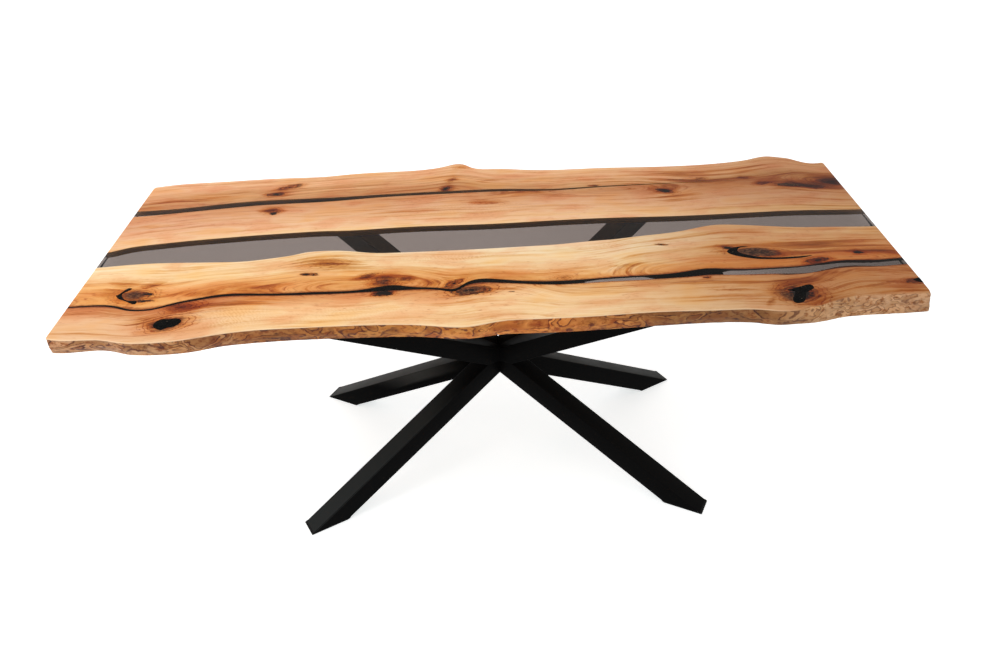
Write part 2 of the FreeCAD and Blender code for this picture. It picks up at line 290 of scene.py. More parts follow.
KNOT_REACH = 2.6         # how many times its own size a knot bends the grain around it

# Brown stained patches of each board: x, y, half length, half width, turn, strength.
STAINS = {
    "back_slab": (
        (0.940, 0.200, 0.180, 0.050, -6, 1.70), (1.030, 0.210, 0.130, 0.070, 0, 1.80),
        (0.640, 0.222, 0.170, 0.040, 0, 0.70), (0.800, 0.310, 0.120, 0.050, 40, 0.45),
        (-0.112, 0.310, 0.034, 0.080, 0, 0.70), (0.010, 0.330, 0.100, 0.024, 15, 0.50),
        (-0.350, 0.228, 0.420, 0.012, 2, 0.50), (0.060, 0.236, 0.330, 0.018, 0, 0.50),
        (-0.900, 0.296, 0.300, 0.022, 3, 0.55), (0.010, 0.180, 0.110, 0.024, -5, 0.70),
        (-0.620, 0.190, 0.080, 0.034, 0, 0.75), (-0.620, 0.322, 0.110, 0.044, 12, 0.75),
        (0.300, 0.300, 0.400, 0.030, 0, 0.40), (0.400, 0.135, 0.300, 0.030, 0, 0.40),
        (-0.060, 0.120, 0.120, 0.040, 0, 0.45), (-0.950, 0.120, 0.200, 0.020, 0, 0.45),
        (0.560, 0.165, 0.120, 0.055, 0, 1.00), (0.627, 0.266, 0.110, 0.003, -8.5, 2.60),
        (0.870, 0.226, 0.110, 0.034, -8, 1.20), (0.580, 0.252, 0.420, 0.080, 0, 0.80),
        (0.590, 0.306, 0.220, 0.034, -6, 0.85),
    ),
    "front_inner_board": (
        (-0.780, -0.262, 0.130, 0.030, 0, 0.90), (-0.868, -0.205, 0.100, 0.026, 24, 0.85),
        (-0.968, -0.222, 0.090, 0.050, 30, 1.10), (-0.640, -0.268, 0.260, 0.030, 2, 0.75),
        (-0.430, -0.138, 0.160, 0.046, -14, 1.15), (-0.300, -0.226, 0.130, 0.052, 0, 0.60),
        (-0.480, -0.240, 0.220, 0.034, 3, 0.75), (-0.130, -0.255, 0.110, 0.032, 20, 0.85),
        (0.150, -0.240, 0.220, 0.022, 0, 0.45), (0.330, -0.222, 0.200, 0.012, 3, 0.55),
        (0.680, -0.178, 0.140, 0.050, -8, 0.95), (0.860, -0.170, 0.240, 0.050, -3, 1.05),
        (0.990, -0.212, 0.150, 0.040, 0, 1.05), (0.840, -0.240, 0.100, 0.030, 0, 0.95),
        (0.760, -0.132, 0.160, 0.024, -4, 0.70), (0.694, -0.184, 0.085, 0.030, -8, 2.00),
        (0.941, -0.262, 0.060, 0.018, 0, 1.60), (-0.902, -0.250, 0.060, 0.034, 10, 1.10),
        (-0.870, -0.212, 0.070, 0.010, 24, 1.30),
    ),
    "front_outer_board": (
        (-0.735, -0.324, 0.110, 0.034, 8, 0.55), (-0.842, -0.372, 0.080, 0.034, 20, 0.70),
        (-0.930, -0.342, 0.160, 0.012, 2, 0.75), (-0.640, -0.318, 0.130, 0.024, 6, 0.80),
        (-0.270, -0.300, 0.070, 0.022, 0, 0.95), (0.060, -0.306, 0.150, 0.014, 3, 0.80),
        (0.360, -0.302, 0.240, 0.012, 0, 0.55), (0.542, -0.300, 0.060, 0.022, 0, 0.65),
        (0.706, -0.392, 0.060, 0.040, -20, 0.85), (0.780, -0.340, 0.150, 0.034, 4, 0.90),
        (0.800, -0.420, 0.110, 0.034, 20, 0.75), (0.950, -0.318, 0.200, 0.034, 0, 0.95),
        (1.010, -0.380, 0.120, 0.050, 0, 0.70), (-0.806, -0.388, 0.070, 0.034, 15, 0.95),
        (0.500, -0.345, 0.240, 0.030, 2, 0.62), (0.560, -0.398, 0.180, 0.020, 0, 0.50),
        (0.888, -0.302, 0.070, 0.009, 17, 1.30), (0.842, -0.340, 0.080, 0.008, 1, 1.20),
        (0.950, -0.368, 0.090, 0.010, 10, 1.10), (0.990, -0.324, 0.080, 0.008, -12, 1.10),
        (0.560, -0.360, 0.140, 0.008, -6, 0.90), (0.664, -0.420, 0.030, 0.012, 60, 0.90),
    ),
}

# Dark speckled hearts of the largest knots: x, y, half length, half width, turn, strength.
ASH = {
    "back_slab": ((-0.640, 0.300, 0.026, 0.016, 0, 1.0), (0.900, 0.204, 0.070, 0.018, -10, 0.9)),
    "front_inner_board": ((0.698, -0.186, 0.070, 0.030, -9, 2.2),
                          (-0.906, -0.254, 0.042, 0.030, 0, 1.2),
                          (-0.280, -0.246, 0.040, 0.026, 0, 0.6)),
    "front_outer_board": ((-0.060, -0.307, 0.052, 0.020, 6, 1.6),
                          (0.716, -0.404, 0.070, 0.034, -40, 1.0)),
}

# Curly figure across the grain: x, y, half length, half width, strength.
CURLS = {
    "back_slab": ((0.493, 0.203, 0.050, 0.024, 1.0), (-0.050, 0.150, 0.260, 0.060, 0.3)),
    "front_inner_board": ((-0.110, -0.142, 0.170, 0.026, 0.9), (0.300, -0.110, 0.1, 0.02, 0.4)),
    "front_outer_board": ((-0.640, -0.375, 0.120, 0.060, 0.8), (-0.350, -0.380, 0.30, 0.05, 0.3),
                          (0.860, -0.372, 0.120, 0.030, 0.6)),
}

# Colours across each board, from its front side (0) to its back side (1).
ACROSS = {
    "back_slab": (
        (0.00, rgb(252, 212, 160)), (0.10, rgb(248, 200, 154)), (0.34, rgb(234, 180, 138)),
        (0.46, rgb(224, 162, 112)), (0.56, rgb(204, 140, 92)), (0.68, rgb(216, 160, 106)),
        (0.84, rgb(242, 184, 136)), (1.00, rgb(254, 204, 156)),
    ),
    "front_inner_board": (
        (0.00, rgb(234, 166, 98)), (0.20, rgb(234, 168, 96)), (0.42, rgb(244, 184, 116)),
        (0.56, rgb(250, 212, 158)), (0.92, rgb(252, 216, 168)), (1.00, rgb(255, 230, 190)),
    ),
    "front_outer_board": (
        (0.00, rgb(255, 220, 172)), (0.12, rgb(252, 212, 160)), (0.62, rgb(252, 208, 154)),
        (0.84, rgb(234, 170, 110)), (1.00, rgb(214, 140, 82)),
    ),
}
# Multipliers for streaks of the wood, from the darkest to the lightest.
STREAK_TONES = ((0.14, rgb(188, 138, 90)), (0.30, rgb(232, 208, 176)),
                (0.42, rgb(248, 240, 228)), (0.54, (1, 1, 1, 1)), (0.74, (1.04, 1.09, 1.16, 1)))
BURN_TONES = ((0.57, (1, 1, 1, 1)), (0.66, rgb(234, 206, 162)), (0.76, rgb(196, 150, 98)),
              (0.86, rgb(152, 114, 72)), (0.96, rgb(118, 88, 54)))
HALO_TONES = ((0.20, (1, 1, 1, 1)), (0.50, rgb(240, 214, 172)), (0.90, rgb(196, 154, 104)))
KNOT_TONES = ((0.05, rgb(112, 82, 54)), (0.28, rgb(182, 140, 94)), (0.52, rgb(238, 208, 160)),
              (0.74, rgb(168, 128, 84)), (0.95, rgb(255, 236, 200)))

# Natural wall of each board under the resin: bare wood colours by the river, near black by the
# seam.
RIVER_WALL = ((0.30, rgb(200, 132, 56)), (0.55, rgb(236, 166, 80)), (0.75, rgb(255, 194, 104)))
SEAM_WALL = ((0.30, rgb(26, 14, 8)), (0.55, rgb(44, 26, 14)), (0.75, rgb(70, 44, 26)))

# What sets the wood of one board apart:
#   width       of the board, in metres
#   heart       where its pith lies across it, as a share of the width
#   seam_side   factor and offset that turn the share across it into the share from the seam
#   fade        how far its colours shift across it in the right half
#   seed        the place in the noises
#   streaks     contrast of the streaks
#   lines       strength of the growth lines
#   left_tint   multiplier at the left end
#   right_tint  multiplier at the right end, which comes in over right_span
#   wall        colours of its natural wall under the resin
#   slot        the record's material slot
#   grid        spacing of the points inside its flat faces
WOODS = {
    "back_slab": SimpleNamespace(
        width=0.43, heart=0.55, seam_side=(0.0, 1.0), fade=0.0, seed=3.1, streaks=0.55,
        lines=0.55, left_tint=rgb(250, 246, 248), right_tint=rgb(214, 200, 184),
        right_span=(0.22, 1.02), wall=RIVER_WALL, slot="back_slab_wood", grid=CAP_GRID),
    "front_inner_board": SimpleNamespace(
        width=0.21, heart=0.10, seam_side=(1.0, 0.0), fade=0.26, seed=7.7, streaks=0.55,
        lines=0.8, left_tint=rgb(255, 255, 255), right_tint=rgb(214, 184, 158),
        right_span=(0.22, 0.70), wall=SEAM_WALL, slot="front_board_wood", grid=CAP_GRID),
    "front_outer_board": SimpleNamespace(
        width=0.15, heart=1.05, seam_side=(-1.0, 1.0), fade=-0.2, seed=12.3, streaks=0.60,
        lines=0.9, left_tint=rgb(236, 224, 226), right_tint=rgb(194, 162, 138),
        right_span=(0.08, 0.90), wall=SEAM_WALL, slot="front_board_wood",
        grid=CAP_GRID * 0.6),
}
ASH_TONES = ((0.36, rgb(28, 17, 10)), (0.50, rgb(70, 43, 26)), (0.68, rgb(126, 88, 58)))
END_TONES = ((0.30, rgb(150, 98, 58)), (0.50, rgb(196, 140, 92)), (0.70, rgb(224, 174, 122)))
DEEP = rgb(50, 30, 18)
PITH_Z = 0.62            # height of the pith that the sawn ends' rings run round

# The live edge along the table, from its left end (0) to its right one (1).
BARK_GROUND = ((0.02, rgb(226, 172, 128)), (0.14, rgb(232, 176, 124)), (0.26, rgb(180, 116, 56)),
               (0.34, rgb(212, 142, 70)), (0.44, rgb(224, 154, 74)), (0.56, rgb(248, 162, 84)),
               (0.68, rgb(170, 116, 62)), (0.80, rgb(166, 116, 68)), (0.87, rgb(228, 180, 134)),
               (0.94, rgb(216, 170, 130)))
OUTLINE = rgb(116, 74, 48)
BARK_BANDS = (
    (0.342, rgb(210, 192, 164)), (0.355, OUTLINE), (0.365, OUTLINE), (0.378, rgb(255, 250, 240)),
    (0.427, rgb(255, 255, 255)), (0.440, OUTLINE), (0.450, OUTLINE), (0.463, rgb(206, 192, 162)),
    (0.527, rgb(228, 214, 190)), (0.540, OUTLINE), (0.550, OUTLINE), (0.563, rgb(255, 250, 238)),
    (0.617, rgb(255, 252, 244)), (0.630, OUTLINE), (0.640, OUTLINE), (0.653, rgb(208, 180, 150)),
)


def blob(s, plan, at, size, turn=0.0):
    """An oval field, 1 at its middle and 0 at its edge, and the place within it."""
    placed = s.node("Mapping", {"Vector": plan}, vector_type="TEXTURE")
    placed.inputs["Location"].default_value = (*at, 0)
    placed.inputs["Rotation"].default_value = (0, 0, math.radians(turn))
    placed.inputs["Scale"].default_value = (*size, 1)
    place = Val(s, placed.outputs[0])
    ball = s.node("TexGradient", {"Vector": place}, gradient_type="SPHERICAL")
    return Val(s, ball.outputs["Fac"]), place


def knot_fields(s, board, plan):
    """How far the knots push the grain aside, how near the nearest is, and their stains."""
    bend, near, brown, core, halo = 0.0, 0.0, 0.0, 0.0, 0.0
    for at_x, at_y, length, width, turn, rings, black, glow in KNOTS[board]:
        reach = (length * KNOT_REACH, width * KNOT_REACH)
        force, place = blob(s, plan, (at_x, at_y), reach, turn)
        aside = s.parts(place)[1]
        bend = force * force * aside * (reach[1] * 0.8) + bend
        near = s.math("MAXIMUM", force, near)
        if rings:
            brown = s.math("MAXIMUM", force * rings, brown)
        if black:
            core = s.math("MAXIMUM", force + black / KNOT_REACH, core)
        halo = s.math("MAXIMUM", force * glow, halo)
    return bend, near, brown, core, halo


def patches(s, plan, table):
    """The strongest of a table of oval patches; its last column is their strength."""
    field = 0.0
    for at_x, at_y, length, width, *turn, strength in table:
        force = blob(s, plan, (at_x, at_y), (length, width), *turn)[0]
        field = s.math("MAXIMUM", force * strength, field)
    return field


def growth_lines(s, ring, per_metre, thin, broad, middle):
    """Thin lines that follow the growth rings, 1 on the line."""
    lines = ring * per_metre + (broad - 0.5) * 2.0 + (middle - 0.5) * 0.6
    return s.smooth(s.math("PINGPONG", lines, 0.5), 0.0, thin, 1.0, 0.0)


def wood_colour(s, board, x, y, z):
    """The planed face of one board: its colour, its relief, and its middling streaks."""
    wood = WOODS[board]
    seed = wood.seed
    across = s.attribute("across")
    drift = s.noises(s.vec(x * 26, y * 60, z * 60 + seed), detail=3)
    jag = s.noises(s.vec(x * 130, y * 210, z * 200 + seed), detail=2)
    plan = s.vec(x + drift[0] * 0.030 + jag[0] * 0.012, y + drift[1] * 0.018 + jag[1] * 0.007)
    bend, near, brown, core, halo = knot_fields(s, board, plan)
    # distance from the pith, which runs along the board and wanders up and down under it
    wander = s.noise(s.vec(x * 1.3, across * 2.0, seed), detail=2) - 0.5
    aside = across * wood.width - wood.heart * wood.width - bend + wander * 0.045
    sunk = s.smooth(s.noise(s.vec(x * 1.9, seed, 0.0), detail=1), 0.32, 0.68, 0.010, 0.075)
    ring = s.math("SQRT", aside * aside + sunk * sunk)
    side = aside * 9 + z * 14 + seed
    warp = s.noise(s.vec(x * 6, ring * 34, side), detail=4, rough=0.6) - 0.5
    ring = ring + warp * (near * 0.020 + 0.010)
    broad = s.noise(s.vec(x * 1.2, ring * 30, side), detail=4, rough=0.62)
    middle = s.noise(s.vec(x * 3.4, ring * 110, side), detail=4, rough=0.64)
    fine = s.noise(s.vec(x * 11, ring * 430, side), detail=3, rough=0.6)
    pores = s.noise(s.vec(x * 70, ring * 1500, side), detail=1)
    streak = s.noise(s.vec(x * 2.2, ring * 60, side + 4), detail=6, rough=0.70)
    fade = s.smooth(x, -0.15, 0.22) * wood.fade
    colour = s.ramp(across + fade + (broad - 0.5) * 0.42 + (middle - 0.5) * 0.25,
                    ACROSS[board])
    heart = s.math("ABSOLUTE", across - wood.heart)
    heart = s.smooth(heart + (broad - 0.5) * 0.4, 0.0, 0.62, 1.0, 0.0)
    cast = s.noise(s.vec(x * 7, y * 15, seed + 31), detail=3)
    colour = s.times(colour, s.ramp(cast, ((0.34, rgb(255, 244, 222)), (0.48, (1, 1, 1, 1)),
                                           (0.64, rgb(250, 230, 220)))))
    # streaks, broad to fine, and the curly figure that crosses them
    contrast = heart * 0.35 + wood.streaks
    tone = (broad - 0.5) * 0.85 + (middle - 0.5) * 1.1 + (fine - 0.5) * 0.55
    curl = s.math("SINE", x * 640 + y * 420 + drift[0] * 26)
    tone = tone * contrast + curl * patches(s, plan, CURLS[board]) * 0.14 + 0.5
    colour = s.times(colour, s.ramp(tone, STREAK_TONES))
    # brown burnt streaks: in the heartwood, in the stained patches, towards the right end
    right = s.smooth(x, *wood.right_span)
    stained = patches(s, plan, STAINS[board])
    burn = streak + stained * 0.22 + near * 0.05 + right * 0.04
    colour = s.times(colour, s.ramp(burn, BURN_TONES))
    # thin dark growth lines that come and go, strongest where they crowd round a knot
    lines = growth_lines(s, ring, 58, 0.15, broad, middle) * s.smooth(streak, 0.45, 0.58)
    hairs = growth_lines(s, ring, 190, 0.20, broad, middle) * s.smooth(middle, 0.44, 0.60)
    lines = lines * (heart * 0.45 + stained * 0.50 + near * 0.75 + 0.16)
    lines = lines + hairs * (heart * 0.25 + stained * 0.35 + near * 0.45 + 0.08)
    onion = s.math("PINGPONG", near * 7 + (middle - 0.5) * 1.6 + drift[0] * 2.0, 0.5)
    onion = s.smooth(onion, 0.0, 0.17, 1.0, 0.0) * s.smooth(halo, 0.15, 0.40)
    lines = lines + onion * s.smooth(broad, 0.34, 0.52)
    colour = s.tint(s.math("MINIMUM", lines * wood.lines, 1.0), colour, rgb(182, 122, 76))
    flecks = s.noise(s.vec(x * 48, ring * 640, side), detail=1)
    flecks = s.smooth(flecks, 0.66, 0.74) * s.smooth(cast, 0.40, 0.60)
    colour = s.tint(flecks * 0.75, colour, rgb(190, 132, 84))
    bank = s.smooth(across * wood.seam_side[0] + wood.seam_side[1] + jag[0] * 0.05,
                    0.0, 0.05, 1.0, 0.0)
    colour = s.tint(bank * 0.8, colour, rgb(150, 104, 62))
    if board == "front_outer_board":
        # a thin dark line along the seam, in the right half
        inner = across + jag[1] * 0.012
        edge_tone = s.smooth(inner, 0.948, 0.966) * s.smooth(x, 0.70, 0.74)
        edge_tone = edge_tone * s.smooth(x, 0.96, 1.02, 1.0, 0.0)
        colour = s.tint(edge_tone * 0.85, colour, rgb(80, 60, 46))
    colour = s.tint(right, colour, wood.right_tint)
    colour = s.tint(s.smooth(x, -0.45, -0.85), colour, wood.left_tint)
    # knots: halo, ringed heart with shakes, dark rim, black core
    glow = halo + (middle - 0.5) * 1.0 + (broad - 0.5) * 0.4
    colour = s.times(colour, s.ramp(glow, HALO_TONES))
    edge = near + drift[2] * 0.20 + jag[2] * 0.20
    ringed = s.math("PINGPONG", near * 4.2 + drift[0] * 3.4 + jag[0] * 0.8, 0.5) * 2.0
    shakes = s.cracks(s.vec(x * 46 + drift[1] * 4, y * 60, seed))
    shakes = s.smooth(shakes, 0.02, 0.08, 1.0, 0.0)
    inside = s.smooth(edge, 0.56, 0.68) * s.smooth(brown, 0.15, 0.50)
    colour = s.tint(inside, colour, s.ramp(ringed, KNOT_TONES))
    specks = s.noise(s.vec(x * 150, y * 260, seed), detail=2) + (ringed - 0.5) * 0.12
    ash = s.smooth(patches(s, plan, ASH[board]) + (middle - 0.5) * 0.6, 0.25, 0.75)
    colour = s.mix(ash * 0.75, colour, s.ramp(specks, ASH_TONES))
    rim = s.smooth(s.math("ABSOLUTE", edge - 0.60), 0.0, 0.07, 1.0, 0.0)
    rim = rim * s.smooth(broad + middle, 0.90, 1.08) * s.smooth(brown, 0.25, 0.50)
    dark = s.math("MAXIMUM", rim, shakes * inside * 0.55)
    colour = s.mix(dark, colour, DEEP)
    colour = s.mix(s.smooth(core + jag[1] * 0.30, 0.97, 1.02), colour, rgb(30, 18, 12))
    height = fine * 0.5 + middle * 0.5 - s.smooth(pores, 0.60, 0.78) * 0.6
    return colour, height, middle


def live_colour(s, board, x, y, z):
    """The barked and sanded natural edge: tan patches with dark wandering outlines."""
    seed = WOODS[board].seed + 20
    grit = s.noise(s.vec(x * 70, y * 70, z * 110), detail=3, rough=0.6)
    closer = s.smooth(x, 0.60, 0.90, 1.0, 1.6)
    outward = s.math("ABSOLUTE", y) - 0.43
    swirl = s.noise(s.vec((x - 0.75) * 9 * closer, outward * 20 * closer,
                          (z - 0.75) * 17 * closer + seed), detail=2, distort=0.5)
    swirl = swirl + (grit - 0.5) * 0.07
    patch = s.noise(s.vec(x * 16, y * 16, z * 30 + seed), detail=3, rough=0.6)
    colour = s.ramp(x * 0.47 + 0.5 + (patch - 0.5) * 0.10, BARK_GROUND)
    low = s.smooth(z + (patch - 0.5) * 0.06, TOP - 0.012, UNDER + 0.016)
    orange = low * s.smooth(s.math("ABSOLUTE", x - 0.06), 0.10, 0.38, 1.0, 0.0)
    colour = s.mix(orange * 0.9, colour, rgb(255, 170, 88))
    worn = s.noise(s.vec(x * 22, y * 22, z * 40 + seed + 5), detail=2)
    shown = s.smooth(worn, 0.34, 0.56, 0.25, 1.0) * s.smooth(x, 0.60, 0.80, 1.0, 0.68)
    colour = s.tint(shown, colour, s.ramp(swirl, BARK_BANDS))
    spotted = s.times(colour, s.ramp(patch, ((0.34, rgb(200, 160, 118)), (0.46, (1, 1, 1, 1)),
                                             (0.64, rgb(236, 212, 178)))))
    colour = s.mix(s.smooth(x, 0.60, 0.75, 1.0, 0.4), colour, spotted)
    colour = s.times(colour, s.ramp(grit, ((0.34, rgb(204, 170, 134)), (0.48, (1, 1, 1, 1)))))
    return colour, swirl * 0.7 + grit * 0.3


def planed_face(board):
    material, s = new_material(board + "_face")
    x, y, z = s.position()
    colour, height, middle = wood_colour(s, board, x, y, z)
    s.finish(s.surface(Base_Color=colour, Roughness=s.smooth(middle, 0.2, 0.8, 0.36, 0.50),
                       Specular_IOR_Level=0.16, Normal=s.bump(height, 0.25, 0.0004)))
    return material


def live_edge(board):
    """The natural edge, which goes over into the planed face where the rim attribute falls."""
    material, s = new_material(board + "_live_edge")
    x, y, z = s.position()
    wood, _, middle = wood_colour(s, board, x, y, z)
    edge_tone, relief = live_colour(s, board, x, y, z)
    rim = s.attribute("rim")
    edge = s.smooth(rim + (middle - 0.5) * 0.5, 0.35, 0.60)
    lit = s.smooth(rim, 0.02, 0.20) * s.smooth(x, 0.64, 0.72, 0.45, 0.0)
    wood = s.mix(lit, wood, rgb(255, 226, 184))
    s.finish(s.surface(Base_Color=s.mix(edge, wood, edge_tone), Roughness=0.52,
                       Specular_IOR_Level=0.30, Normal=s.bump(relief, 0.5, 0.002)))
    return material


def resin_bank_wall(board):
    """The natural wall under the resin."""
    material, s = new_material(board + "_resin_bank_wall")
    x, y, z = s.position()
    grit = s.noise(s.vec(x * 12, y * 12, z * 60), detail=3, rough=0.5)
    s.finish(s.surface(Base_Color=s.ramp(grit, WOODS[board].wall), Roughness=0.7,
                       Specular_IOR_Level=0.1, Normal=s.bump(grit, 0.5, 0.002)))
    return material


def sawn_end(board):
    """End grain: growth rings round a pith that lies under the board."""
    material, s = new_material(board + "_sawn_end")
    width, seed = WOODS[board].width, WOODS[board].seed
    x, y, z = s.position()
    across = s.attribute("across") * width - width * 0.5
    ring = s.math("SQRT", across * across + (z - PITH_Z) * (z - PITH_Z))
    ring = ring + (s.noise(s.vec(across * 9, z * 9, seed), detail=2) - 0.5) * 0.02
    bands = s.noise(s.vec(ring * 150, 0.0, seed), detail=2)
    pore = s.noise(s.vec(y * 700, z * 700, x * 700), detail=1)
    colour = s.ramp(bands, END_TONES)
    colour = s.tint(s.smooth(pore, 0.58, 0.72) * 0.5, colour, DEEP)
    s.finish(s.surface(Base_Color=colour, Roughness=0.55, Specular_IOR_Level=0.3,
                       Normal=s.bump(pore + bands, 0.2, 0.0005)))
    return material


# How strongly the resins let light through, from the middle of the table (0.5) to its right
# end (1), less towards the right end as a painted shade, the tints of their gloss, and the smoke
# in both.
RIVER_SHADE_TONES = ((0.50, 1.0), (0.85, 0.77))
NARROW_SHADE_TONES = ((0.50, 1.0), (0.76, 0.90), (0.85, 0.56), (0.97, 0.47))
RIVER_GLOSS = (0.90, 0.78, 0.70, 1)
NARROW_GLOSS = (0.50, 0.38, 0.30, 1)
SMOKE = {"Color": (0.38, 0.29, 0.25, 1), "Density": 44.0}


def resin_material(name, gloss, shade_tones):
    """Smoke grey casting resin, polished, clear enough to see the frame through."""
    material, s = new_material(name)
    x, y, z = s.position()
    cloud = s.noise(s.vec(x * 3, y * 9, z * 9), detail=2)
    haze = s.smooth(cloud, 0.3, 0.7, 0.015, 0.035)
    # painted shade: the resin is made darker towards the right end, where less light falls
    cast = s.ramp(x * 0.45 + 0.5, [(at, (tone, tone, tone, 1)) for at, tone in shade_tones])
    shader = s.surface(Base_Color=cast, Roughness=haze, IOR=1.5, Specular_Tint=gloss,
                       Transmission_Weight=1.0)
    smoke = s.node("VolumeAbsorption", SMOKE)
    s.finish(shader, smoke.outputs[0])
    return material


def fill_material():
    """Black resin poured into the knot holes, with a few pale specks that are painted highlights,
    and rubbing marks.
    """
    material, s = new_material("black_resin")
    x, y, z = s.position()
    rub = s.noise(s.vec(x * 90, y * 240, z * 90), detail=3)
    depth = s.noise(s.vec(x * 60, y * 60, z * 20), detail=2)
    colour = s.ramp(depth, ((0.35, rgb(4, 5, 5)), (0.6, rgb(12, 11, 9)), (0.8, rgb(34, 26, 18))))
    # painted highlight: sparse pale specks on the black resin
    speck = s.noise(s.vec(x * 210, y * 330, z * 90), detail=1)
    colour = s.mix(s.smooth(speck, 0.73, 0.80) * 0.6, colour, rgb(170, 148, 122))
    s.finish(s.surface(Base_Color=colour, Roughness=s.smooth(rub, 0.3, 0.7, 0.20, 0.40),
                       Specular_IOR_Level=0.05, Normal=s.bump(rub, 0.05, 0.0003)))
    return material


def powder_material(name, shade, painted_sheens, rough=0.52, grain=1500):
    """Matt powder coat with a fine orange-peel texture.

    painted_sheens holds the colours of the upward faces at the four corners, in the order of
    CORNERS; these are painted light, a painted sheen that stands in for the light and reflections
    on the upward faces.
    """
    material, s = new_material(name)
    x, y, z = s.position()
    at = s.vec(x, y, z)
    peel = s.noise(at, scale=grain, detail=2)
    cloud = s.noise(at, scale=14, detail=3)
    dark = rgb(shade * 0.85, shade * 0.86, shade * 0.88)
    light = rgb(shade * 1.15, shade * 1.16, shade * 1.18)
    colour = s.ramp(cloud, ((0.3, dark), (0.7, light)))
    # painted sheen: upward faces away from the hub are lighter, by a different amount at each
    # corner, as painted light
    facing = s.node("NewGeometry").outputs["Normal"]
    upward = s.smooth(s.parts(Val(s, facing))[2], 0.3, 0.7)
    upward = upward * s.smooth(s.math("ABSOLUTE", x), 0.06, 0.24)
    to_right = s.smooth(x, -0.1, 0.1)
    front, back = s.mix(to_right, *painted_sheens[:2]), s.mix(to_right, *painted_sheens[2:])
    colour = s.mix(upward, colour, s.mix(s.smooth(y, -0.1, 0.1), front, back))
    s.finish(s.surface(Base_Color=colour,
                       Roughness=s.smooth(cloud, 0.3, 0.7, rough - 0.05, rough + 0.05),
                       Specular_IOR_Level=0.02, Normal=s.bump(peel, 0.12, 0.0004)))
    return material


def zinc_material():
    material, s = new_material("zinc")
    x, y, z = s.position()
    flake = s.noise(s.vec(x, y, z), scale=420, detail=2)
    s.finish(s.surface(Base_Color=s.ramp(flake, ((0.3, rgb(150, 150, 146)),
                                                 (0.7, rgb(196, 194, 186)))),
                       Metallic=1.0, Roughness=s.smooth(flake, 0.3, 0.7, 0.30, 0.45)))
    return material


def rubber_material():
    material, s = new_material("pad_rubber")
    x, y, z = s.position()
    speck = s.noise(s.vec(x, y, z), scale=700, detail=2)
    s.finish(s.surface(Base_Color=s.ramp(speck, ((0.3, rgb(20, 20, 20)),
                                                 (0.7, rgb(38, 38, 37)))),
                       Roughness=0.85, Specular_IOR_Level=0.3,
                       Normal=s.bump(speck, 0.3, 0.0003)))
    return material


# ------------------------------------------------------------------ meshes of the top

def welded(node):
    bm = bmesh.new()
    bm.from_mesh(NODES[node].data)
    bmesh.ops.remove_doubles(bm, verts=bm.verts, dist=1e-6)
    bm.verts.ensure_lookup_table()
    return bm


def face_outlines(bm):
    """Closed outlines of the flat upper face, with the material on their left."""
    top = [f for f in bm.faces if f.normal.z > 0.99 and f.calc_center_median().z > TOP - 1e-4]
    inside = {f.index for f in top}
    following = {}
    for face in top:
        for loop in face.loops:
            if loop.link_loop_radial_next.face.index not in inside:
                following[loop.vert.index] = loop.link_loop_next.vert.index
    outlines = []
    while following:
        first = min(following)
        outline, here = [], first
        while here in following:
            outline.append(bm.verts[here].co.to_2d())
            here = following.pop(here)
        outlines.append(outline)
    return sorted(outlines, key=len, reverse=True)


